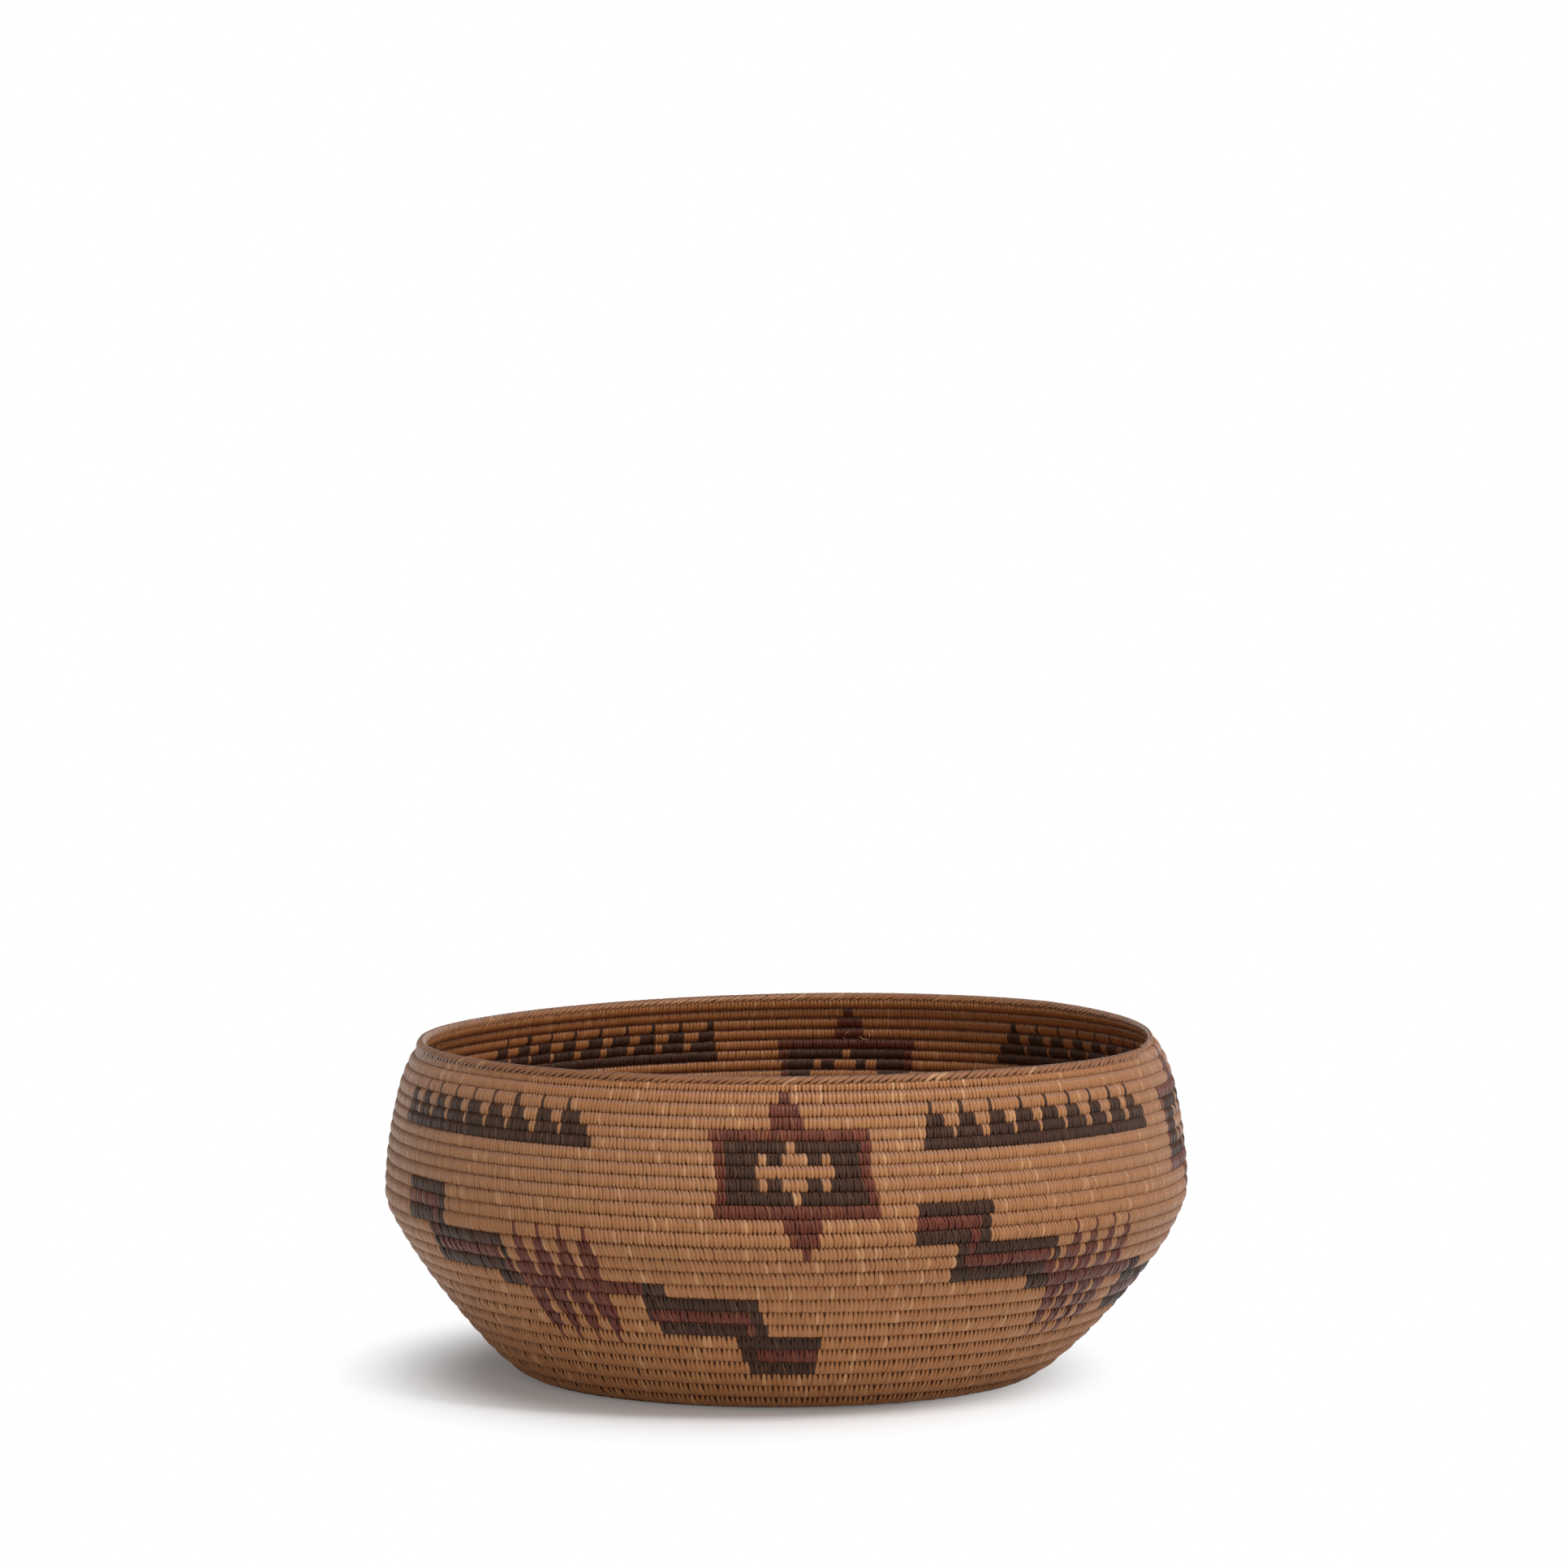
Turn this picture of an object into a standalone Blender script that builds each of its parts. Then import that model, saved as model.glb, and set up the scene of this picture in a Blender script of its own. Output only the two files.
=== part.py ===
# Coiled basket: a round bowl built up from one continuous coil, sewn row upon row.
# The coil starts at a knot in the middle of the base, runs outwards as a flat spiral,
# turns up at the foot and climbs the wall to the rim, where its end tapers off.
# Metres, +Z up. The origin is on the floor, in the middle of the base.

import math

import bmesh
import bpy
from mathutils import Vector

# Bowl section, measured on the middle line of the wall
RIM_RADIUS = 0.1358
RIM_HEIGHT = 0.1275
BELLY_BULGE = 0.0144
BELLY_RADIUS = RIM_RADIUS + BELLY_BULGE
BELLY_HEIGHT = 0.0703
FOOT_RADIUS = 0.0920

# How gently the section bends, as the lengths of its curve handles
FOOT_BEND = 0.0130
BELLY_BEND_BELOW = 0.0129
BELLY_BEND_ABOVE = 0.0381
RIM_BEND = 0.0056
RIM_LEAN = math.radians(54)

# Coil: height of one row at the rim, at the foot and beside the knot
RIM_PITCH = 0.0043
FOOT_PITCH = 0.0082
KNOT_PITCH = 0.0036
PITCH_GROWTH = 2.03
ROW_GAP = 0.0006

# Ends of the coil
KNOT_RADIUS = 0.0045
KNOT_TURNS = 2.0
END_AZIMUTH = math.radians(70)
END_TAPER_TURNS = 0.17
END_THINNESS = 0.35

# Overcast braid along the rim
BRAID_RADIUS = 0.0009

# The base is worn flat by this share of the coil's thickness
FLOOR_CUT_SHARE = 0.1

SEAT_GAP = 0.0003
POINTS_PER_TURN = 20
COARSE_POINTS_PER_TURN = 10
COARSE_RADIUS = 0.038
SECTION_SIDES = 6
LINE_STEPS = 160
WELD_DISTANCE = 0.000001

NATURAL_STRAND = (0.46, 0.26, 0.12, 1.0)
AGED_STRAND = (0.33, 0.17, 0.08, 1.0)
BRAID_STRAND = (0.27, 0.13, 0.06, 1.0)


def clear_scene():
    for obj in list(bpy.data.objects):
        bpy.data.objects.remove(obj)


def bezier(start, start_handle, end_handle, end, steps):
    points = []
    for step in range(steps + 1):
        t = step / steps
        point = start * (1 - t) ** 3
        point += start_handle * 3 * t * (1 - t) ** 2
        point += end_handle * 3 * t * t * (1 - t)
        point += end * t**3
        points.append(point)
    return points


def section_line():
    """Middle line of the wall as (radius, height) points, from the rim down to the foot."""
    rim = Vector((RIM_RADIUS, RIM_HEIGHT))
    rim_handle = rim + RIM_BEND * Vector((math.sin(RIM_LEAN), -math.cos(RIM_LEAN)))
    belly = Vector((BELLY_RADIUS, BELLY_HEIGHT))
    above_belly = belly + Vector((0, BELLY_BEND_ABOVE))
    below_belly = belly - Vector((0, BELLY_BEND_BELOW))
    foot = Vector((FOOT_RADIUS, base_line_height()))
    foot_handle = foot + Vector((FOOT_BEND, 0))
    upper = bezier(rim, rim_handle, above_belly, belly, LINE_STEPS)
    lower = bezier(belly, below_belly, foot_handle, foot, LINE_STEPS)
    return upper + lower[1:]


def half_width(pitch):
    """Half of the coil across its corners, which face the rows above and below."""
    return (pitch - ROW_GAP) / 2


def half_thickness(pitch):
    """Half of the coil across its flats, which face out of and into the bowl."""
    return half_width(pitch) * math.cos(math.pi / SECTION_SIDES)


def base_line_height():
    """Height of the coil's middle line on the base, which leaves the cut below the floor."""
    return half_thickness(FOOT_PITCH) * (1 - 2 * FLOOR_CUT_SHARE)


class Section:
    """The bowl's section, on which a distance is measured from the rim down and inwards."""

    def __init__(self):
        self.points = section_line()
        self.lengths = [0.0]
        for a, b in zip(self.points, self.points[1:]):
            self.lengths.append(self.lengths[-1] + (b - a).length)
        self.wall_length = self.lengths[-1]
        mean_pitch = RIM_PITCH + (FOOT_PITCH - RIM_PITCH) / (PITCH_GROWTH + 1)
        self.wall_turns = self.wall_length / mean_pitch
        self.knot_zone = KNOT_TURNS * (KNOT_PITCH + FOOT_PITCH) / 2
        even_base = FOOT_RADIUS - KNOT_RADIUS - self.knot_zone
        self.base_turns = KNOT_TURNS + even_base / FOOT_PITCH
        self.turns = self.wall_turns + self.base_turns

    def base_radius(self, turns_from_knot):
        """Radius of a row's inner edge on the flat base."""
        if turns_from_knot >= KNOT_TURNS:
            even = (turns_from_knot - KNOT_TURNS) * FOOT_PITCH
            return KNOT_RADIUS + self.knot_zone + even
        widening = (FOOT_PITCH - KNOT_PITCH) / KNOT_TURNS / 2
        return KNOT_RADIUS + (KNOT_PITCH + widening * turns_from_knot) * turns_from_knot

    def row_edge(self, turn):
        """Distance of a row's upper edge, a number of turns after the end of the coil."""
        if turn <= 0:
            return RIM_PITCH * turn
        if turn > self.wall_turns:
            inner = self.base_radius(self.turns - turn)
            return self.wall_length + FOOT_RADIUS - inner
        share = turn / self.wall_turns
        growth = (FOOT_PITCH - RIM_PITCH) / (PITCH_GROWTH + 1) * share**PITCH_GROWTH
        return (RIM_PITCH + growth) * turn

    def place(self, distance):
        """(radius, height) on the middle line at a distance, and the line's direction there."""
        if distance >= self.wall_length:
            radius = FOOT_RADIUS - (distance - self.wall_length)
            return Vector((radius, self.points[-1].y)), Vector((-1, 0))
        low, high = 0, len(self.lengths) - 1
        while high - low > 1:
            middle = (low + high) // 2
            if self.lengths[middle] <= distance:
                low = middle
            else:
                high = middle
        a, b = self.points[low], self.points[high]
        share = (distance - self.lengths[low]) / (self.lengths[high] - self.lengths[low])
        return a.lerp(b, share), (b - a).normalized()


def on_circle(radius, height, turn):
    """A point at a turn of the coil. Azimuth 0 is the front, -Y, and grows towards +X."""
    azimuth = END_AZIMUTH + 2 * math.pi * turn
    return Vector((radius * math.sin(azimuth), -radius * math.cos(azimuth), height))


def row_height(section, turn):
    """Height of the row at a turn, thinned towards the end of the coil."""
    full = section.row_edge(turn + 1) - section.row_edge(turn)
    share = min(1.0, turn / END_TAPER_TURNS)
    return full * (END_THINNESS + (1 - END_THINNESS) * share)


def coil_point(section, turn):
    """Centre of the coil at a turn, half its width across corners, and the section's tilt."""
    height = row_height(section, turn)
    place, direction = section.place(section.row_edge(turn + 1) - height / 2)
    centre = on_circle(place.x, place.y, turn)
    tilt = math.atan2(-direction.x, -direction.y) + math.pi / SECTION_SIDES
    return centre, half_width(height), tilt


def coil_points(section, first, last):
    """Points of a stretch of coil. Both of its ends lie halfway along a chord, square to it."""
    step = 1 / POINTS_PER_TURN
    ratio = POINTS_PER_TURN // COARSE_POINTS_PER_TURN
    points = []
    for index in range(round(first / step) + 1, round(last / step) + 1):
        point = coil_point(section, index * step)
        coarse = point[0].xy.length < COARSE_RADIUS
        if not coarse or index % ratio == 0:
            points.append(point)
    before = coil_point(section, round(first / step) * step)
    points.insert(0, between(before, points[0]))
    after = coil_point(section, (round(last / step) + 1) * step)
    points.append(between(after, points[-1]))
    return points


def between(outside, inside):
    """The end of a stretch: half the seat gap inside the middle of a chord."""
    along = (inside[0] - outside[0]).normalized()
    middle = outside[0].lerp(inside[0], 0.5) + along * SEAT_GAP / 2
    return middle, (outside[1] + inside[1]) / 2, (outside[2] + inside[2]) / 2


def least_gap(points):
    """Least distance between the sides of rows that lie next to each other."""
    least = math.inf
    for index, (centre, width, _) in enumerate(points):
        for other, other_width, _ in points[index + COARSE_POINTS_PER_TURN // 2 :]:
            least = min(least, (other - centre).length - width - other_width)
    return least


def tube(name, points, material, collection):
    """One unbroken tube through points of (centre, half width, tilt)."""
    curve = bpy.data.curves.new(name, "CURVE")
    curve.dimensions = "3D"
    curve.twist_mode = "Z_UP"
    curve.bevel_depth = 1.0
    curve.bevel_resolution = SECTION_SIDES // 2 - 2
    curve.use_fill_caps = True
    spline = curve.splines.new("POLY")
    spline.points.add(len(points) - 1)
    for target, (centre, width, tilt) in zip(spline.points, points):
        target.co = (*centre, 1.0)
        target.radius = width
        target.tilt = tilt
    curve.materials.append(material)
    obj = bpy.data.objects.new(name, curve)
    collection.objects.link(obj)
    return obj


def make_floor_cutter():
    """Everything below the floor, wider than the bowl."""
    side = 3 * BELLY_RADIUS
    depth = 4 * FOOT_PITCH
    bpy.ops.mesh.primitive_cube_add(size=1, location=(0, 0, -depth / 2))
    cutter = bpy.context.object
    cutter.name = "floor_cutter"
    cutter.scale = (side, side, depth)
    cutter.hide_render = True
    cutter.display_type = "WIRE"
    cutters = bpy.data.collections.new("cutters")
    bpy.context.scene.collection.children.link(cutters)
    for owner in list(cutter.users_collection):
        owner.objects.unlink(cutter)
    cutters.objects.link(cutter)
    return cutter


def cut_flat(obj, cutter):
    """The tube as a mesh, with what lies below the floor cut away."""
    graph = bpy.context.evaluated_depsgraph_get()
    mesh = bpy.data.meshes.new_from_object(obj.evaluated_get(graph))
    shape = bmesh.new()
    shape.from_mesh(mesh)
    bmesh.ops.remove_doubles(shape, verts=shape.verts, dist=WELD_DISTANCE)
    shape.to_mesh(mesh)
    shape.free()
    name = obj.name
    solid = bpy.data.objects.new(name + "_mesh", mesh)
    solid.matrix_world = obj.matrix_world
    for owner in obj.users_collection:
        owner.objects.link(solid)
    bpy.data.objects.remove(obj)
    solid.name = name
    cut = solid.modifiers.new("floor_cut", "BOOLEAN")
    cut.operation = "DIFFERENCE"
    cut.object = cutter
    return solid


def make_material(name, colour, roughness):
    material = bpy.data.materials.new(name)
    material.use_nodes = True
    shader = material.node_tree.nodes["Principled BSDF"]
    shader.inputs["Base Color"].default_value = colour
    shader.inputs["Roughness"].default_value = roughness
    shader.inputs["Metallic"].default_value = 0.0
    return material


def make_coil(section, name, first, last, material, collection):
    points = coil_points(section, first, last)
    print(name, "turns", round(last - first, 2), "least gap mm", round(least_gap(points) * 1000, 3))
    return tube(name, points, material, collection)


def make_start_knot(material, collection):
    """The knot of shoots from which the coil starts, a little thinner than the base."""
    mesh = bpy.data.meshes.new("start_knot")
    shape = bmesh.new()
    bmesh.ops.create_uvsphere(shape, u_segments=16, v_segments=8, radius=KNOT_RADIUS - SEAT_GAP)
    flatness = half_thickness(KNOT_PITCH) / KNOT_RADIUS
    bmesh.ops.scale(shape, vec=(1, 1, flatness), verts=shape.verts)
    bmesh.ops.translate(shape, vec=(0, 0, base_line_height()), verts=shape.verts)
    shape.to_mesh(mesh)
    shape.free()
    mesh.shade_smooth()
    mesh.materials.append(material)
    obj = bpy.data.objects.new("start_knot", mesh)
    collection.objects.link(obj)
    return obj


def make_rim_braid(section, material, collection):
    """The overcast strand that lies on the top of the rim, once round."""
    points = []
    for index in range(POINTS_PER_TURN + 1):
        turn = index / POINTS_PER_TURN
        top = section.row_edge(turn + 1) - row_height(section, turn)
        place, direction = section.place(max(top, 0.0))
        rise = BRAID_RADIUS + SEAT_GAP + max(-top, 0.0)
        place = place - direction * rise
        points.append((on_circle(place.x, place.y, turn), BRAID_RADIUS, 0.0))
    start_chord = (points[1][0] - points[0][0]).normalized()
    end_chord = (points[-1][0] - points[-2][0]).normalized()
    points[0] = (points[0][0] + start_chord * SEAT_GAP, BRAID_RADIUS, 0.0)
    points[-1] = (points[-1][0] - end_chord * SEAT_GAP, BRAID_RADIUS, 0.0)
    return tube("rim_braid", points, material, collection)


def build():
    clear_scene()
    collection = bpy.data.collections.new("coiled_basket")
    bpy.context.scene.collection.children.link(collection)
    natural = make_material("natural_strand", NATURAL_STRAND, 0.55)
    aged = make_material("aged_strand", AGED_STRAND, 0.5)
    braid = make_material("braid_strand", BRAID_STRAND, 0.5)
    section = Section()
    print("wall turns", round(section.wall_turns, 2), "base turns", round(section.base_turns, 2))
    tier = round((section.wall_turns - 1) / 3)
    make_coil(section, "rim_coil", 0, 1, aged, collection)
    make_coil(section, "shoulder_coil", 1, 1 + tier, natural, collection)
    make_coil(section, "belly_coil", 1 + tier, 1 + 2 * tier, natural, collection)
    foot_turn = round(section.wall_turns)
    first_turn = 1 + 2 * tier
    lower = make_coil(section, "lower_wall_coil", first_turn, foot_turn, natural, collection)
    last_turn = section.turns - 1
    base = make_coil(section, "base_coil", foot_turn, last_turn, natural, collection)
    cutter = make_floor_cutter()
    cut_flat(lower, cutter)
    cut_flat(base, cutter)
    make_start_knot(natural, collection)
    make_rim_braid(section, braid, collection)


build()
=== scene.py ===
import math
import random

import bpy
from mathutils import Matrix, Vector, noise


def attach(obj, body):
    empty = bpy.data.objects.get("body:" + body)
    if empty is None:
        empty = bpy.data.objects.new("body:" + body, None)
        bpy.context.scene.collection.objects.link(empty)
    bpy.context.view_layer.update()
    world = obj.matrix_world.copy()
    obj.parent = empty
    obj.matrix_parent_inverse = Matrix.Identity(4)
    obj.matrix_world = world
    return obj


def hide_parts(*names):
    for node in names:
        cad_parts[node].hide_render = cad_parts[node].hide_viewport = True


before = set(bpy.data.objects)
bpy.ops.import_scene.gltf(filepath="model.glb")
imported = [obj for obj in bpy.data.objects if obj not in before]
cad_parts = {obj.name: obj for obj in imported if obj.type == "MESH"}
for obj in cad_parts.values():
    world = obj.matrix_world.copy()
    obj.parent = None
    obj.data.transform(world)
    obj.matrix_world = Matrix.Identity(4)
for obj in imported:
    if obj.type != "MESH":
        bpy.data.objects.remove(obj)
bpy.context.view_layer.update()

print("frame loaded")

# The bowl's section on the middle line of the wall, as in the CAD model, in metres and degrees
bowl = {
    "rimRadius": 0.1358, "rimHeight": 0.1275, "rimBend": 0.0056, "rimLean": 54,
    "bellyBulge": 0.0144, "bellyHeight": 0.0703, "bellyBendAbove": 0.0381, "bellyBendBelow": 0.0129,
    "footRadius": 0.0920, "footBend": 0.0130, "floorShare": 0.1,
    "rimTilt": 0.0069, "tiltAt": 0.125,  # how much higher the right side stands, at the height tiltAt
    "footShift": -0.003, "footShiftBelow": 0.055,
    "backLift": 0.0021, "liftAzimuth": 150, "liftFrom": 0.07, "liftSharpness": 1.5,  # highest at the back right
    "leastRadius": 0.01,
    "outOfRound": 0.00035, "bumpsRound": 2.2, "bumpsPerTurn": 0.22, "bumpsFadeTurns": 6,
}

# The one coil: heights of its rows, and the small drift of the rows that the maker's hand left
coil = {
    "rimPitch": 0.0043, "footPitch": 0.0082, "knotPitch": 0.0036, "pitchGrowth": 2.03,
    "rowGap": 0.0006, "leastHalf": 0.0006, "sectionSides": 6,
    "knotRadius": 0.0045, "knotTurns": 2.0, "knotTail": 0.12,
    "endAzimuth": 70, "endTaper": 0.17, "endThinness": 0.35,
    "upperDrift": 0.0008, "upperDriftAt": 4.6, "lowerDrift": -0.00165, "lowerDriftAt": 15.6, "driftReach": 1.9,
    "waviness": 0.00016, "wavesRound": 2.5, "wavesPerTurn": 0.9,
}


def bezier(start, startHandle, endHandle, end, steps=160):
    points = []
    for step in range(steps + 1):
        t = step / steps
        points.append(start * (1 - t)**3 + startHandle * 3 * t * (1 - t)**2
                      + endHandle * 3 * t * t * (1 - t) + end * t**3)
    return points


def halfThickness(pitch):
    return max(coil["leastHalf"], (pitch - coil["rowGap"]) / 2 * math.cos(math.pi / coil["sectionSides"]))


def sectionLine():
    rim = Vector((bowl["rimRadius"], bowl["rimHeight"]))
    lean = math.radians(bowl["rimLean"])
    belly = Vector((bowl["rimRadius"] + bowl["bellyBulge"], bowl["bellyHeight"]))
    foot = Vector((bowl["footRadius"], halfThickness(coil["footPitch"]) * (1 - 2 * bowl["floorShare"])))
    upper = bezier(rim, rim + bowl["rimBend"] * Vector((math.sin(lean), -math.cos(lean))),
                   belly + Vector((0, bowl["bellyBendAbove"])), belly)
    lower = bezier(belly, belly - Vector((0, bowl["bellyBendBelow"])), foot + Vector((bowl["footBend"], 0)), foot)
    return upper + lower[1:]


line = sectionLine()
lineLengths = [0.0]
for a, b in zip(line, line[1:]):
    lineLengths.append(lineLengths[-1] + (b - a).length)
wallLength = lineLengths[-1]
baseLevel = Vector((0, 0, line[-1].y))  # middle of the base, on the middle line of its coil
pitchGain = (coil["footPitch"] - coil["rimPitch"]) / (coil["pitchGrowth"] + 1)
wallTurns = wallLength / (coil["rimPitch"] + pitchGain)
knotZone = coil["knotTurns"] * (coil["knotPitch"] + coil["footPitch"]) / 2
coilTurns = wallTurns + coil["knotTurns"] + (bowl["footRadius"] - coil["knotRadius"] - knotZone) / coil["footPitch"]


def baseRadius(turnsFromKnot):
    if turnsFromKnot <= 0:
        return coil["knotRadius"]
    if turnsFromKnot >= coil["knotTurns"]:
        return coil["knotRadius"] + knotZone + (turnsFromKnot - coil["knotTurns"]) * coil["footPitch"]
    widening = (coil["footPitch"] - coil["knotPitch"]) / coil["knotTurns"] / 2
    return coil["knotRadius"] + (coil["knotPitch"] + widening * turnsFromKnot) * turnsFromKnot


def azimuthOf(turn):
    return math.radians(coil["endAzimuth"]) + 2 * math.pi * turn


def awayAndAlong(azimuth):  # directions from the basket's axis and round it
    return Vector((math.sin(azimuth), -math.cos(azimuth), 0)), Vector((math.cos(azimuth), math.sin(azimuth), 0))


def rowEdge(turn):  # distance of a row's upper edge along the section, from the rim
    if turn <= 0:
        return coil["rimPitch"] * turn
    if turn > wallTurns:
        return wallLength + bowl["footRadius"] - baseRadius(coilTurns - turn)
    azimuth = azimuthOf(turn)
    even = (coil["rimPitch"] + pitchGain * (turn / wallTurns)**coil["pitchGrowth"]) * turn
    upper = coil["upperDrift"] * math.exp(-((turn - coil["upperDriftAt"]) / coil["driftReach"])**2)
    onRight = 0.5 + 0.5 * math.sin(azimuth)
    lower = coil["lowerDrift"] * onRight * math.exp(-((turn - coil["lowerDriftAt"]) / coil["driftReach"])**2)
    wave = noise.noise(Vector((math.sin(azimuth) * coil["wavesRound"], math.cos(azimuth) * coil["wavesRound"],
                               turn * coil["wavesPerTurn"])))
    return even + upper + lower + coil["waviness"] * wave * min(1.0, turn)


def onSection(distance):  # radius, height and direction of the section at a distance from the rim
    if distance >= wallLength:
        return bowl["footRadius"] - (distance - wallLength), line[-1].y, Vector((-1, 0))
    low, high = 0, len(lineLengths) - 1
    while high - low > 1:
        middle = (low + high) // 2
        if lineLengths[middle] <= distance:
            low = middle
        else:
            high = middle
    share = (distance - lineLengths[low]) / (lineLengths[high] - lineLengths[low])
    point = line[low].lerp(line[high], share)
    return point.x, point.y, (line[high] - line[low]).normalized()


def settle(point):  # the handmade tilt and lift of the rim, and the foot that sits a little to the left
    below = max(0.0, 1 - point.z / bowl["footShiftBelow"])
    shift = bowl["footShift"] * below * below
    highest = math.radians(bowl["liftAzimuth"])
    radius = max(bowl["leastRadius"], math.hypot(point.x, point.y))
    towards = (point.x * math.sin(highest) - point.y * math.cos(highest)) / radius
    above = max(0.0, point.z - bowl["liftFrom"]) / (bowl["rimHeight"] - bowl["liftFrom"])
    lift = bowl["backLift"] * max(0.0, towards)**bowl["liftSharpness"] * above
    return Vector((point.x + shift, point.y, point.z + bowl["rimTilt"] * point.x * point.z / bowl["tiltAt"] + lift))


def rowPlace(turn):  # middle of the coil at a turn, its directions along, out and up, and the row's height
    full = rowEdge(turn + 1) - rowEdge(turn)
    height = full * (coil["endThinness"] + (1 - coil["endThinness"]) * min(1.0, turn / coil["endTaper"]))
    radius, level, down = onSection(rowEdge(turn + 1) - height / 2)
    away, along = awayAndAlong(azimuthOf(turn))
    bump = noise.noise(away * bowl["bumpsRound"] + Vector((0, 0, turn * bowl["bumpsPerTurn"])))
    radius += bowl["outOfRound"] * bump * min(1.0, max(0.0, wallTurns - turn) / bowl["bumpsFadeTurns"])
    out = away * -down.y + Vector((0, 0, down.x))
    up = away * -down.x + Vector((0, 0, -down.y))
    return settle(away * radius + Vector((0, 0, level))), along, out, up, height


# Figures sewn in dyed strands. A row is counted from the rim. Runs are (strand, from, to) in degrees
# from the figure's own middle or start, and a later run lies over an earlier one.
sixSidedFigure = {
    1: [("red", -0.8, 0.7)],
    2: [("red", -2.1, 2.0)],
    3: [("red", -2.5, 2.4)],
    4: [("red", -10.8, 11.8)],
    5: [("red", -10.2, 11.8), ("dark", -8.8, 10.1), ("natural", 0.0, 1.3)],
    6: [("red", -9.8, 11.4), ("dark", -8.4, 10.1), ("natural", -3.8, -2.5), ("natural", -0.6, 2.6),
        ("natural", 4.7, 5.9)],
    7: [("red", -9.5, 11.5), ("dark", -8.0, 10.3), ("natural", -4.1, 6.5)],
    8: [("red", -9.4, 12.2), ("dark", -8.1, 10.8), ("natural", -3.8, -2.6), ("natural", -0.4, 2.8),
        ("natural", 5.1, 6.3)],
    9: [("red", -9.5, 12.6), ("dark", -8.1, 11.1), ("natural", 0.8, 2.1)],
    10: [("red", -9.6, 13.1)],
    11: [("red", -0.6, 5.1)],
    12: [("red", 0.6, 4.5)],
    13: [("red", 2.1, 3.6)],
}
toothedBand = {  # in degrees, the tooth from its tip, and the rows below from the band's first and last tip
    "teeth": 9, "spacing": 4.79, "tipRow": 2, "halfStitch": 0.33, "tooth": (-0.7, 2.0),
    "slitRow": (-1.3, 3.6), "slitAt": 0.73, "fullRow": (-1.5, 4.3),
}
zigzagMiddle = 35  # degrees from a zigzag's start to its middle
steppedZigzag = {
    10: [("dark", 0.0, 11.4)],
    11: [("red", 0.0, 9.8), ("dark", 9.8, 11.2)],
    12: [("dark", 0.0, 8.0), ("red", 8.0, 9.5), ("dark", 9.5, 11.1)],
    13: [("dark", 6.5, 7.8), ("red", 7.8, 9.3), ("dark", 9.3, 23.4)],
    14: [("dark", 6.5, 7.9), ("red", 7.9, 22.4), ("dark", 23.0, 24.0)],
    15: [("dark", 6.0, 22.2), ("red", 22.2, 24.0)],
    16: [("dark", 20.0, 24.3), ("red", 24.3, 45.5), ("dark", 45.5, 49.1)],
    17: [("dark", 45.3, 63.0)],
    18: [("dark", 45.2, 46.1), ("red", 46.1, 61.7), ("dark", 61.7, 63.5)],
    19: [("dark", 46.8, 60.8), ("red", 60.8, 62.3), ("dark", 62.3, 64.3)],
    20: [("dark", 59.2, 73.2)],
    21: [("dark", 60.2, 62.0), ("red", 62.0, 72.6)],
    22: [("dark", 60.9, 73.1)],
}
feathers = {
    "first": 26.7, "spacing": 3.85, "count": 4,
    "runs": {12: (-0.3, 0.3), 13: (-0.8, 0.9), 14: (-1.2, 1.4), 15: (-1.55, 1.45),
             17: (-1.5, 1.55), 18: (-1.15, 1.65), 19: (-0.5, 1.7), 20: (0.0, 0.9)},
}
figurePlaces = {  # azimuths, counted from the front towards the right
    "sixSided": (0.0, 81.0, 169.7, 257.0),
    "band": (20.9, 101.9, 192.6, 289.0),
    "zigzag": (18.0, 108.5, 200.0, 293.0),
}


def rowAndOffset(turn, azimuth):  # the row, counted from the rim, and the degrees past an azimuth
    passed = turn - ((azimuth - coil["endAzimuth"]) / 360) % 1
    row = round(passed)
    return row, 360 * (passed - row)


def inRuns(runs, offset, strand):  # the strand of the last run that covers the offset
    for name, first, last in runs:
        if first <= offset < last:
            strand = name
    return strand


def inBand(below, offset, strand):  # rows are counted from the teeth's tips
    spacing, half = toothedBand["spacing"], toothedBand["halfStitch"]
    width = spacing * (toothedBand["teeth"] - 1)
    tooth = min(max(round(offset / spacing), 0), toothedBand["teeth"] - 1)
    past = offset - tooth * spacing
    if below == 0 and abs(past) < half:
        return "dark"
    if below == 1 and toothedBand["tooth"][0] < past < toothedBand["tooth"][1]:
        return "dark"
    if below == 2 and toothedBand["slitRow"][0] < offset < width + toothedBand["slitRow"][1]:
        gap = (offset - spacing * toothedBand["slitAt"]) % spacing
        return "natural" if min(gap, spacing - gap) < half and offset < width else "dark"
    if below == 3 and toothedBand["fullRow"][0] < offset < width + toothedBand["fullRow"][1]:
        return "dark"
    return strand


def strandAt(turn):
    strand = "natural"
    for place in figurePlaces["sixSided"]:
        row, offset = rowAndOffset(turn, place)
        strand = inRuns(sixSidedFigure.get(row, ()), offset, strand)
    for place in figurePlaces["band"]:
        row, offset = rowAndOffset(turn, place)
        strand = inBand(row - toothedBand["tipRow"], offset, strand)
    for place in figurePlaces["zigzag"]:
        row, offset = rowAndOffset(turn, place + zigzagMiddle)
        offset += zigzagMiddle
        strand = inRuns(steppedZigzag.get(row, ()), offset, strand)
        if row in feathers["runs"]:
            first, last = feathers["runs"][row]
            for feather in range(feathers["count"]):
                middle = feathers["first"] + feather * feathers["spacing"]
                if middle + first <= offset < middle + last:
                    strand = "red"
    return strand


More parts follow.
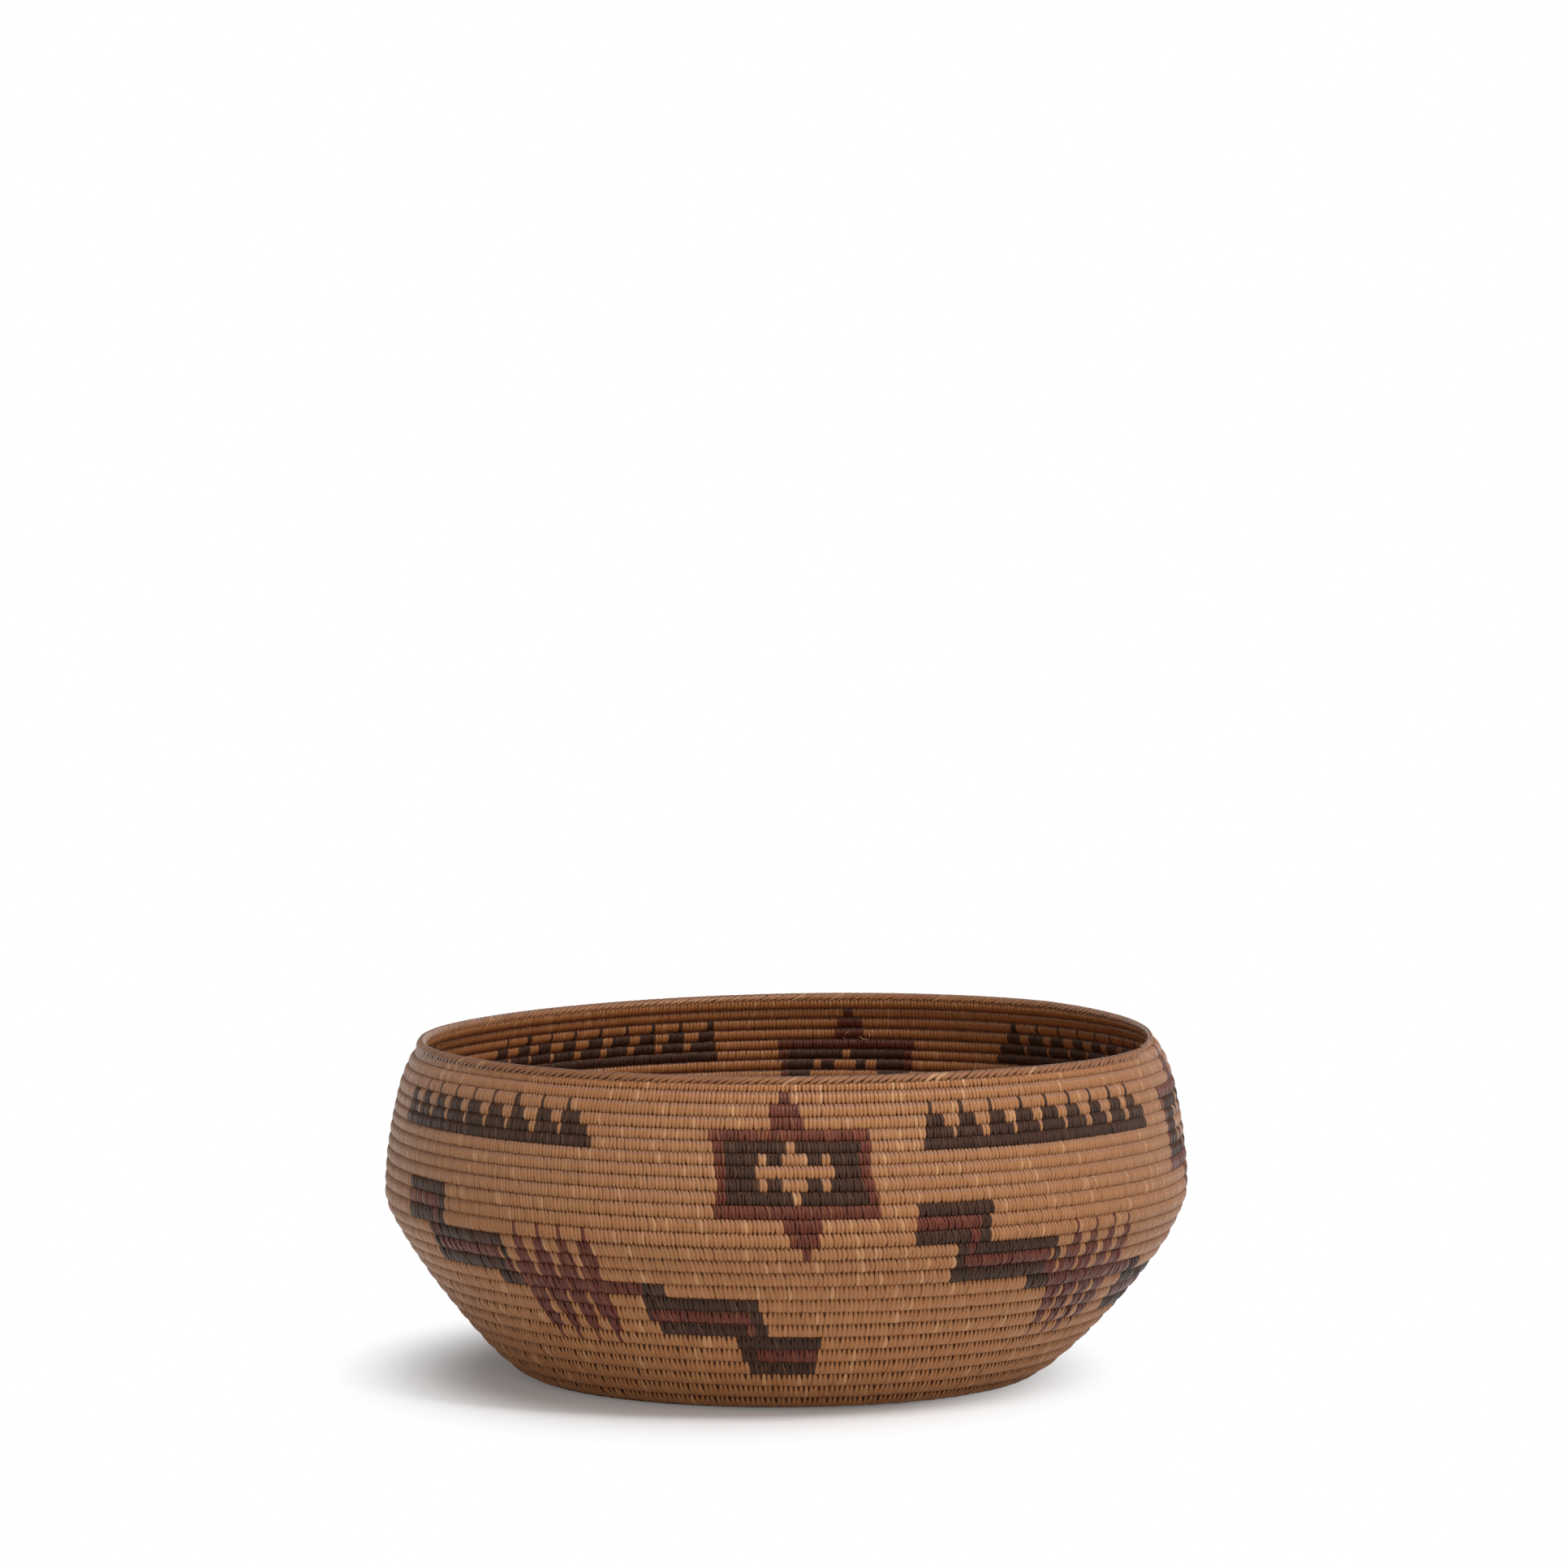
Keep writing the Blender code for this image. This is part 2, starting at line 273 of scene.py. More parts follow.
# Small wrapper round a node tree's sockets, so that sums can be written as sums
class Value:
    def __init__(self, bench, socket):
        self.bench, self.socket = bench, socket

    def math(self, operation, *operands):
        return self.bench.add("ShaderNodeMath", {"operation": operation}, dict(enumerate(operands or (self,))))

    def __add__(self, other):
        return self.math("ADD", self, other)

    __radd__ = __add__

    def __sub__(self, other):
        return self.math("SUBTRACT", self, other)

    def __rsub__(self, other):
        return self.math("SUBTRACT", other, self)

    def __mul__(self, other):
        return self.math("MULTIPLY", self, other)

    __rmul__ = __mul__

    def __pow__(self, other):
        return self.math("POWER", self, other)

    def atLeast(self, other):
        return self.math("MAXIMUM", self, other)

    def atMost(self, other):
        return self.math("MINIMUM", self, other)


class Bench:
    def __init__(self, tree):
        self.tree = tree

    def add(self, kind, settings=None, links=None, output=0):
        node = self.tree.nodes.new(kind)
        for name, setting in (settings or {}).items():
            setattr(node, name, setting)
        for name, source in (links or {}).items():
            if isinstance(source, Value):
                self.tree.links.new(source.socket, node.inputs[name])
            else:
                node.inputs[name].default_value = source
        return Value(self, node.outputs[output]) if len(node.outputs) else None

    def smooth(self, value, low, high):  # 0 below low, 1 above high
        return self.add("ShaderNodeMapRange", {"interpolation_type": "SMOOTHSTEP"}, {0: value, 1: low, 2: high})

    def mix(self, share, first, second):  # colours
        return self.add("ShaderNodeMix", {"data_type": "RGBA"}, {0: share, 6: first, 7: second}, 2)

    def speckle(self, vector, scale, detail):
        return self.add("ShaderNodeTexNoise", {"noise_dimensions": "3D"},
                        {"Vector": vector, "Scale": scale, "Detail": detail})

    def scaled(self, vector, factor):
        return self.add("ShaderNodeVectorMath", {"operation": "SCALE"}, {0: vector, 3: factor})

    def summed(self, first, second, operation="ADD"):
        return self.add("ShaderNodeVectorMath", {"operation": operation}, {0: first, 1: second})

    def parts(self, vector):
        node = self.add("ShaderNodeSeparateXYZ", None, {0: vector}).socket.node
        return [Value(self, node.outputs[axis]) for axis in range(3)]

    def vector(self, x, y, z):
        return self.add("ShaderNodeCombineXYZ", None, {0: x, 1: y, 2: z})


# Sewing strands: closed loops round the coil, one for each place on it
sewing = {
    "seed": 11, "firstTurn": 0.004, "leastRadius": 0.002,
    "pitchAtRim": 0.00150, "pitchAtFoot": 0.00184, "pitchOnBase": 0.0021, "pitchGrowsFrom": 6,
    "dyedShare": 0.87, "pitchSpread": 0.07, "fill": 1.3, "widerBelow": 0.04, "plump": 0.0001,
    "crown": 0.00019, "crownOnBase": 0.0002, "drop": 0.02, "flatness": 0.74, "innerRoundness": 0.5,
    "floorRound": 0.0005, "loopPoints": 12, "unevenness": 1.0, "dyedUnevenness": 2.0,
    "tuck": 0.09, "tuckLostOnBase": 0.9, "baseFlatness": 0.24,
    "lean": 0.02, "leanGain": 0.16, "leanGrows": (3, 10), "leanFades": (13, 19),
    "rimEnds": (0.9, 1.1), "lowerRows": (13, 21), "baseFrom": -1.4, "baseFlat": (-0.3, 0.5),
}
strandShape = {  # on the shoulder, and what the lower rows, the base and the rim add to it
    "topNarrowing": (0.6, 0.08, -0.4, 0.13), "topTaper": (4.0, -2.9, 0.0, -2.4),
    "footNarrowing": (0.62, -0.62, 0.0, 0.0), "fullness": (1.0, -0.6, 0.0, 0.0), "flatness": (1.0, -0.25, 0.0, 0.0),
}
loopForm = {  # how every loop is bent. The spreads are what the tree's Unevenness scales
    "widthSpread": 0.07, "crownSpread": 0.15, "depthSpread": 0.035, "bulgeSpread": 0.12, "wanderSpread": 0.3,
    "leanSpread": 0.05, "footLeanSpread": 0.04, "noiseScatter": 40.0, "wanderRate": 0.8, "bulgeRate": 0.9,
    "leanPower": 1.4, "footPower": 3.0, "waistPower": 3.0, "crownSlope": 0.2,
    "insideSharpness": 4.0, "insideNarrowing": 0.5, "insideShort": 0.07, "insideOnBase": 0.5,
}
treeInputs = (  # the strand tree's numbers, and where they stand in sewing
    ("Loop Points", "NodeSocketInt", "loopPoints"), ("Crown", "NodeSocketFloat", "crown"),
    ("Drop", "NodeSocketFloat", "drop"), ("Flatness", "NodeSocketFloat", "flatness"),
    ("Inner Roundness", "NodeSocketFloat", "innerRoundness"), ("Floor Round", "NodeSocketFloat", "floorRound"),
    ("Unevenness", "NodeSocketFloat", "unevenness"), ("Seed", "NodeSocketInt", "seed"),
)


def sewnStrandTree():
    tree = bpy.data.node_groups.new("sewnStrands", "GeometryNodeTree")
    inputs = (("Places", "NodeSocketGeometry", None), *treeInputs, ("Strand", "NodeSocketMaterial", None))
    for name, kind, key in inputs:
        socket = tree.interface.new_socket(name=name, in_out="INPUT", socket_type=kind)
        if key:
            socket.default_value = sewing[key]
    tree.interface.new_socket(name="Strands", in_out="OUTPUT", socket_type="NodeSocketGeometry")
    bench = Bench(tree)
    given = {s.name: Value(bench, s) for s in bench.add("NodeGroupInput").socket.node.outputs if s.name}

    def store(geometry, name, kind, value):
        return bench.add("GeometryNodeStoreNamedAttribute", {"data_type": kind, "domain": "POINT"},
                         {"Geometry": geometry, "Name": name, "Value": value})

    def read(name, kind="FLOAT"):
        return bench.add("GeometryNodeInputNamedAttribute", {"data_type": kind}, {"Name": name})

    def circle(points, radius):
        return bench.add("GeometryNodeCurvePrimitiveCircle", {"mode": "RADIUS"},
                         {"Resolution": points, "Radius": radius})

    # A thin ring on every place, with each point's way round the loop and round the strand kept on it
    along = bench.add("GeometryNodeSplineParameter")
    loop = store(circle(given["Loop Points"], 0.001), "around", "FLOAT", along)
    profile = store(circle(4, 0.0002), "across", "FLOAT", along)
    ring = bench.add("GeometryNodeCurveToMesh", None, {"Curve": loop, "Profile Curve": profile})
    ring = store(ring, "inRing", "FLOAT_VECTOR", bench.add("GeometryNodeInputPosition"))
    chance = bench.add("FunctionNodeRandomValue", {"data_type": "FLOAT_VECTOR"},
                       {0: (-1.0, -1.0, -1.0), 1: (1.0, 1.0, 1.0), "Seed": given["Seed"]})
    places = store(given["Places"], "chance", "FLOAT_VECTOR", chance)
    copies = bench.add("GeometryNodeInstanceOnPoints", None, {"Points": places, "Instance": ring})
    strands = bench.add("GeometryNodeRealizeInstances", None, {"Geometry": copies})

    # up and out are 1 on the row's upper edge and on the wall's outer side
    form = loopForm
    luckX, luckY, luckZ = bench.parts(read("chance", "FLOAT_VECTOR"))
    uneven = given["Unevenness"]
    angle = read("around") * (2 * math.pi)
    corner = read("across") * (2 * math.pi) + math.pi / 4
    up, out = angle.math("COSINE"), angle.math("SINE")
    high, low = up.atLeast(0.0), (up * -1.0).atLeast(0.0)
    within = (out * -form["insideSharpness"]).atLeast(0.0).atMost(1.0)
    side, lift = corner.math("COSINE") * math.sqrt(2), corner.math("SINE") * math.sqrt(2)
    rowHeight = read("rowHeight")
    width = read("strandWidth") * (luckX * uneven * form["widthSpread"] + 1.0)
    farX, farY, farZ = [luck * form["noiseScatter"] for luck in (luckX, luckY, luckZ)]
    wander = bench.speckle(bench.vector(farX, farY, angle * form["wanderRate"]), 1.0, 1.0) - 0.5
    bulge = bench.speckle(bench.vector(farZ, angle * form["bulgeRate"], farX), 1.0, 1.0) - 0.5

    narrowing = read("topNarrowing") * high ** read("topTaper") + read("footNarrowing") * low ** form["footPower"]
    narrowing = 1.0 - narrowing * (1.0 - within * form["insideNarrowing"])
    narrowing = narrowing * (1.0 - read("waist") * (1.0 - up.math("ABSOLUTE")) ** form["waistPower"])
    rise = given["Crown"] * read("fullness") * lift * (luckZ * uneven * form["crownSpread"] + 1.0)

    roundness = given["Flatness"] * read("flatness") + within * given["Inner Roundness"]
    fullOut = out.math("SIGN") * out.math("ABSOLUTE") ** roundness
    depth = read("loopDepth") * (1.0 - read("flattened") * (1.0 - within))
    depth = depth * (luckY * uneven * form["depthSpread"] + bulge * uneven * form["bulgeSpread"] + 1.0)
    outward = fullOut * (depth + rise) * (1.0 - read("footSink") * low)

    shorter = form["insideShort"] - read("flattened") * form["insideOnBase"]
    reach = rowHeight * (read("tuck") + 0.5 - within * shorter)
    upward = up * (reach + rise) - rowHeight * given["Drop"]

    lean = (read("lean") + luckY * uneven * form["leanSpread"]) * high ** form["leanPower"]
    lean = lean - luckX * uneven * form["footLeanSpread"] * low
    sideways = side * width * 0.5 * narrowing * (1.0 - form["crownSlope"] * (lift + 1.0)) - lean * rowHeight
    sideways = sideways - read("slant") * out.math("SIGN") * (1.0 - high)
    sideways = sideways + wander * uneven * width * form["wanderSpread"]

    moved = bench.scaled(read("alongRow", "FLOAT_VECTOR"), sideways)
    for direction, distance in (("outOfWall", outward), ("upWall", upward)):
        moved = bench.summed(moved, bench.scaled(read(direction, "FLOAT_VECTOR"), distance))
    start = bench.summed(bench.add("GeometryNodeInputPosition"), read("inRing", "FLOAT_VECTOR"), "SUBTRACT")
    x, y, z = bench.parts(bench.summed(start, moved))
    z = (z + (z * z + given["Floor Round"] * given["Floor Round"]).math("SQRT")) * 0.5  # as in clearOfFloor
    strands = bench.add("GeometryNodeSetPosition", None, {"Geometry": strands, "Position": bench.vector(x, y, z)})
    spot = bench.vector(side, read("around"), luckZ * 0.5 + 0.5)
    strands = store(strands, "strandPlace", "FLOAT_VECTOR", spot)
    strands = bench.add("GeometryNodeSetShadeSmooth", None, {"Geometry": strands, "Shade Smooth": True})
    strands = bench.add("GeometryNodeSetMaterial", None, {"Geometry": strands, "Material": given["Strand"]})
    bench.add("NodeGroupOutput", None, {0: strands})
    return tree


# Finishes. Colours are linear. A glint runs along one side of a strand, or all over it where glintFrom is low
# Each look has a colour for painted shade in the grooves, which is also the colour of its dark fibre streaks, a
# colour for wear that also paints shade inside the wall, and a share of dust that also paints a grey sheen
strandLooks = {
    "natural": {
        "pale": (0.42, 0.192, 0.078, 1), "deep": (0.32, 0.132, 0.047, 1), "worn": (0.285, 0.095, 0.025, 1),
        "groove": (0.2, 0.06, 0.015, 1), "glint": (0.56, 0.3, 0.14, 1), "glintShare": 0.07, "glintFrom": -2.0,
        "roughness": 0.3, "shine": 0.3, "sheen": (1, 0.91, 0.82, 1),
        "fibres": 0.16, "ends": 0.65, "dust": 0.5, "insideWear": 0.5},
    "dark": {
        "pale": (0.05, 0.0195, 0.011, 1), "deep": (0.03, 0.0135, 0.009, 1), "worn": (0.042, 0.019, 0.012, 1),
        "groove": (0.01, 0.005, 0.0035, 1), "glint": (0.17, 0.08, 0.042, 1), "glintShare": 0.22, "glintFrom": 0.3,
        "roughness": 0.46, "shine": 0.28, "sheen": (1, 0.78, 0.62, 1),
        "fibres": 0.45, "ends": 0.65, "dust": 0.0, "insideWear": 0.6},
    "red": {
        "pale": (0.158, 0.03, 0.0145, 1), "deep": (0.08, 0.017, 0.0095, 1), "worn": (0.09, 0.027, 0.016, 1),
        "groove": (0.022, 0.0055, 0.0035, 1), "glint": (0.33, 0.125, 0.055, 1), "glintShare": 0.18,
        "glintFrom": 0.25, "roughness": 0.34, "shine": 0.3, "sheen": (1, 0.82, 0.7, 1),
        "fibres": 0.35, "ends": 0.65, "dust": 0.08, "insideWear": 0.6},
    "braid": {
        "pale": (0.35, 0.145, 0.055, 1), "deep": (0.22, 0.083, 0.029, 1), "worn": (0.2, 0.07, 0.022, 1),
        "groove": (0.07, 0.022, 0.008, 1), "glint": (0.55, 0.31, 0.14, 1), "glintShare": 0.06, "glintFrom": -2.0,
        "roughness": 0.32, "shine": 0.38, "sheen": (1, 0.91, 0.82, 1),
        "fibres": 0.25, "ends": 0.65, "dust": 0.1, "insideWear": 0.0},
}
strandLooks["naturalMiddle"] = dict(strandLooks["natural"], shine=0.25, roughness=0.34, ends=0.65)
strandLooks["naturalLower"] = dict(strandLooks["natural"], shine=0.24, roughness=0.4, ends=0.3)

strandSurface = {  # what all strands share. Pairs are where a thing starts and where it is full
    "streaksAcross": 3.2, "streaksAlong": 5.0, "scatter": (71.0, 37.0, 173.0),
    "patchScale": 38.0, "grainScale": 900.0, "ownTone": 0.55, "patchTone": 0.45,
    "insideTurn": (-0.25, 0.25), "rimHeights": (0.108, 0.131), "footHeights": (0.004, 0.05), "patches": (0.52, 0.72),
    "rimWear": 0.5, "footWear": 0.05, "patchWear": 0.3, "mostWear": 0.85,
    "glintPick": (1.0, 1.02), "glintEdge": 0.4, "glintStreaks": (0.3, 0.5), "glintOut": 0.75, "glintLostInside": 0.4,
    # Dust with a painted grey sheen, on the upward parts of the upper outer rows
    "dustAndSheenTurn": (0.1, 0.5), "dustAndSheenHeights": (0.035, 0.105), "dustAndSheenTone": (0.215, 0.135, 0.105, 1),
    # Painted shade: the strands' edges and their loop ends, where the rows meet, are darkened towards the groove
    # colour
    "edges": (0.8, 1.0), "edgeShade": 0.2, "fibreStreaks": (0.28, 0.6), "endTurn": (0.72, 0.95), "mostShade": 0.9,
    "footRough": 0.22, "insideRough": 0.05, "rimSmooth": 0.04, "dustAndSheenRough": 0.3, "streakRough": 0.25,
    "leastRough": 0.2, "mostRough": 0.9, "streakRelief": 0.7, "grainRelief": 0.3, "relief": 0.35, "depth": 0.00012,
}
plainLooks = {  # flecks are (scale, detail), and fleckEdges where deep ends and where pale is full
    # The rods' very dark brown is partly painted shade: it stands for the shade in the gaps between the strands,
    # where the rods show
    "foundationRods": {
        "deep": (0.05, 0.016, 0.006, 1), "pale": (0.15, 0.048, 0.015, 1), "flecks": (420.0, 3.0),
        "fleckEdges": (0.35, 0.7), "relief": 0.4, "depth": 0.0003, "roughness": 0.75},
    "looseFibre": {
        "deep": (0.16, 0.06, 0.022, 1), "pale": (0.42, 0.23, 0.11, 1), "flecks": (700.0, 2.0),
        "fleckEdges": (0.35, 0.65), "relief": 0.3, "depth": 0.0001, "roughness": 0.5},
}


def newFinish(name):
    material = bpy.data.materials.new(name)
    material.use_nodes = True
    material.node_tree.nodes.clear()
    return material, Bench(material.node_tree)


def finishWith(bench, values):
    shader = bench.add("ShaderNodeBsdfPrincipled", None, values)
    bench.add("ShaderNodeOutputMaterial", None, {"Surface": shader})


def strandFinish(name, look):
    material, bench = newFinish(name)
    surface = strandSurface
    strandPlace = bench.add("ShaderNodeAttribute", {"attribute_name": "strandPlace"}, output="Vector")
    side, around, chance = bench.parts(strandPlace)
    place = bench.add("ShaderNodeTexCoord", output="Object")
    height = bench.parts(place)[2]
    farX, farZ, farPick = [chance * step for step in surface["scatter"]]
    onStrand = bench.vector(side * surface["streaksAcross"] + farX, around * surface["streaksAlong"], farZ)
    streaks = bench.speckle(onStrand, 1.0, 3.0)
    patches = bench.speckle(place, surface["patchScale"], 4.0)
    grain = bench.speckle(place, surface["grainScale"], 2.0)
    pick = bench.add("ShaderNodeTexWhiteNoise", {"noise_dimensions": "1D"}, {"W": farPick})
    up, out = [(around * (2 * math.pi)).math(kind) for kind in ("COSINE", "SINE")]
    inside = 1.0 - bench.smooth(out, *surface["insideTurn"])
    nearRim = bench.smooth(height, *surface["rimHeights"])
    nearFoot = 1.0 - bench.smooth(height, *surface["footHeights"])

    # Own colour, wear with painted shade inside the wall, glints, dust with a painted grey sheen, and painted shade
    # in the grooves between the strands and at the row ends, in this order
    tone = bench.mix(chance * surface["ownTone"] + patches * surface["patchTone"], look["deep"], look["pale"])
    # Wear darkens the rim, the foot and patches; the share inside the wall is partly wear and partly painted shade
    wearAndShade = nearRim * (1.0 - inside) * surface["rimWear"] + nearFoot * surface["footWear"]
    wearAndShade = wearAndShade + inside * look["insideWear"] + bench.smooth(patches, *surface["patches"]) * surface["patchWear"]
    tone = bench.mix(wearAndShade.atMost(surface["mostWear"]), tone, look["worn"])
    glints = bench.smooth(pick, *(edge - look["glintShare"] for edge in surface["glintPick"]))
    glints = glints * bench.smooth(side, look["glintFrom"], look["glintFrom"] + surface["glintEdge"])
    glints = glints * bench.smooth(streaks, *surface["glintStreaks"])
    glints = glints * (surface["glintOut"] - inside * surface["glintLostInside"])
    tone = bench.mix(glints, tone, look["glint"])
    # The upper part of each stitch on the upper outer rows turns greyer and darker: partly dust, partly a painted
    # grey sheen from the light above
    dustAndSheen = bench.smooth(up, *surface["dustAndSheenTurn"]) * bench.smooth(height, *surface["dustAndSheenHeights"]) * (1.0 - inside)
    tone = bench.mix(dustAndSheen * look["dust"], tone, surface["dustAndSheenTone"])
    # Painted shade along the strands' edges and at the loop ends; the fibre streaks are the strands' own darker
    # fibres
    edges = bench.smooth(side.math("ABSOLUTE"), *surface["edges"]) * surface["edgeShade"]
    ends = bench.smooth(up.math("ABSOLUTE"), *surface["endTurn"]) * look["ends"]
    fibres = (1.0 - bench.smooth(streaks, *surface["fibreStreaks"])) * look["fibres"]
    tone = bench.mix((edges + ends + fibres).atMost(surface["mostShade"]), tone, look["groove"])

    roughness = look["roughness"] + nearFoot * surface["footRough"] + inside * surface["insideRough"]
    roughness = roughness - nearRim * surface["rimSmooth"] + dustAndSheen * surface["dustAndSheenRough"]
    roughness = roughness + (streaks - 0.5) * surface["streakRough"]
    roughness = roughness.atMost(surface["mostRough"]).atLeast(surface["leastRough"])
    relief = streaks * surface["streakRelief"] + grain * surface["grainRelief"]
    bump = bench.add("ShaderNodeBump", None,
                     {"Height": relief, "Strength": surface["relief"], "Distance": surface["depth"]})
    finishWith(bench, {"Base Color": tone, "Roughness": roughness, "Normal": bump,
                       "Specular IOR Level": look["shine"], "Specular Tint": look["sheen"]})
    return material


def plainFinish(name, look):
    material, bench = newFinish(name)
    place = bench.add("ShaderNodeTexCoord", output="Object")
    flecks = bench.speckle(place, *look["flecks"])
    tone = bench.mix(bench.smooth(flecks, *look["fleckEdges"]), look["deep"], look["pale"])
    bump = bench.add("ShaderNodeBump", None,
                     {"Height": flecks, "Strength": look["relief"], "Distance": look["depth"]})
    finishWith(bench, {"Base Color": tone, "Normal": bump, "Roughness": look["roughness"]})
    return material


finishes = {name: strandFinish(name + "Strand", look) for name, look in strandLooks.items()}
for name, look in plainLooks.items():
    finishes[name] = plainFinish(name, look)
print("finishes made")


def share(turn, low, high):  # 0 up to low, 1 from high, smooth between them
    t = min(1.0, max(0.0, (turn - low) / (high - low)))
    return t * t * (3 - 2 * t)


def strandPitch(turn):
    if turn > wallTurns:
        return sewing["pitchOnBase"]
    grown = share(turn, sewing["pitchGrowsFrom"], wallTurns)
    return sewing["pitchAtRim"] + (sewing["pitchAtFoot"] - sewing["pitchAtRim"]) * grown


def allPlaces():  # every sewn strand, from the rim to the knot
    luck = random.Random(sewing["seed"])
    found = []
    turn = sewing["firstTurn"]
    lastTurn = coilTurns - coil["knotTail"]
    while turn < lastTurn:
        centre, along, out, up, height = rowPlace(turn)
        strand = strandAt(turn)
        width = strandPitch(turn) * (1 if strand == "natural" else sewing["dyedShare"])
        width *= 1 + sewing["pitchSpread"] * luck.uniform(-1, 1)
        lower = share(turn, *sewing["lowerRows"])
        onBase = share(turn, wallTurns + sewing["baseFrom"], wallTurns)
        onRim = 1 - share(turn, *sewing["rimEnds"])
        flattened = share(turn, *(wallTurns + turns for turns in sewing["baseFlat"]))
        place = {
            "strand": strand, "turn": turn, "centre": centre, "alongRow": along, "outOfWall": out, "upWall": up,
            "rowHeight": height, "strandWidth": width * sewing["fill"] * (1 + sewing["widerBelow"] * lower),
            "loopDepth": halfThickness(height) + sewing["plump"],
            "tuck": sewing["tuck"] * (1 - sewing["tuckLostOnBase"] * onBase),
            "flattened": sewing["baseFlatness"] * flattened, "waist": 0.0, "slant": 0.0, "footSink": 0.0,
            "lean": (sewing["lean"] + sewing["leanGain"] * share(turn, *sewing["leanGrows"])
                     - sewing["leanGain"] * share(turn, *sewing["leanFades"])),
        }
        for key, (shoulder, atLower, atBase, atRim) in strandShape.items():
            place[key] = shoulder + atLower * lower + atBase * onBase + atRim * onRim
        found.append(place)
        radius = max(sewing["leastRadius"], math.hypot(centre.x, centre.y))
        turn += width / (2 * math.pi * radius)
    return found


rimBraid = {
    "seed": 5, "firstTurn": 0.012, "crown": 0.00014, "rise": 0.32, "upright": 0.8, "depth": 1.2, "proud": 0.0002,
    "width": 0.0043, "spacing": 0.00307, "spacingSpread": (0.93, 1.07), "slant": 0.0046, "slantSpread": (0.9, 1.1),
    "waist": 0.58, "topNarrowing": 0.1, "topTaper": 2.0, "footNarrowing": 0.6, "footSink": 0.7,
}


def overcastPlaces():  # strands that lie aslant over the top of the rim, like one side of a plait
    found = []
    luck = random.Random(rimBraid["seed"])
    turn = rimBraid["firstTurn"]
    while turn < 1.0:
        centre, along, out, up, height = rowPlace(turn)
        overTop = (up * (1 - rimBraid["upright"]) + Vector((0, 0, rimBraid["upright"]))).normalized()
        place = {
            "strand": "braid", "turn": turn, "centre": centre + overTop * height * rimBraid["rise"],
            "alongRow": along, "outOfWall": overTop.cross(along) * -1, "upWall": overTop,
            "rowHeight": height * rimBraid["depth"], "strandWidth": rimBraid["width"],
            "loopDepth": halfThickness(height) + rimBraid["proud"],
            "slant": rimBraid["slant"] * luck.uniform(*rimBraid["slantSpread"]),
            "fullness": 1.0, "flatness": 1.0, "tuck": 0.0, "flattened": 0.0, "lean": 0.0,
        }
        for key in ("waist", "topNarrowing", "topTaper", "footNarrowing", "footSink"):
            place[key] = rimBraid[key]
        found.append(place)
        step = rimBraid["spacing"] * luck.uniform(*rimBraid["spacingSpread"])
        turn += step / (2 * math.pi * math.hypot(centre.x, centre.y))
    return found


floatNames = ("rowHeight", "strandWidth", "loopDepth", "topNarrowing", "topTaper", "footNarrowing", "footSink",
              "fullness", "flatness", "waist", "tuck", "flattened", "lean", "slant")
vectorNames = ("alongRow", "outOfWall", "upWall")
helperNames = floatNames + vectorNames + ("inRing", "chance", "around", "across")
strandTree = sewnStrandTree()


def keepInScene(piece, *nodes):
    bpy.context.scene.collection.objects.link(piece)
    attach(piece, "root")
    if nodes:
        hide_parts(*nodes)
    return piece


def sewPiece(name, places, finish, node, changes=None):
    mesh = bpy.data.meshes.new(name + "Places")
    mesh.from_pydata([place["centre"] for place in places], [], [])
    for key in floatNames:
        values = [place[key] for place in places]
        mesh.attributes.new(key, "FLOAT", "POINT").data.foreach_set("value", values)
    for key in vectorNames:
        values = [c for place in places for c in place[key]]
        mesh.attributes.new(key, "FLOAT_VECTOR", "POINT").data.foreach_set("vector", values)
    holder = bpy.data.objects.new(name + "Holder", mesh)
    bpy.context.scene.collection.objects.link(holder)
    modifier = holder.modifiers.new("sewing", "NODES")
    modifier.node_group = strandTree
    chosen = {title: sewing[key] for title, kind, key in treeInputs}
    chosen["Strand"] = finishes[finish]
    chosen.update(changes or {})
    for socket in strandTree.interface.items_tree:
        if socket.in_out == "INPUT" and socket.name in chosen:
            modifier[socket.identifier] = chosen[socket.name]
    graph = bpy.context.evaluated_depsgraph_get()
    sewn = bpy.data.meshes.new_from_object(holder.evaluated_get(graph))
    bpy.data.objects.remove(holder)
    for attribute in [a.name for a in sewn.attributes if a.name in helperNames]:
        sewn.attributes.remove(sewn.attributes[attribute])
    sewn.name = name
    piece = keepInScene(bpy.data.objects.new(name, sewn), node)
    print(name, len(places), "strands,", sum(len(p.vertices) - 2 for p in sewn.polygons), "triangles")


def sewRows(name, strand, first, last, finish, node, changes):
    chosen = [p for p in places if p["strand"] == strand and first <= p["turn"] < last]
    sewPiece(name, chosen, finish, node, changes)


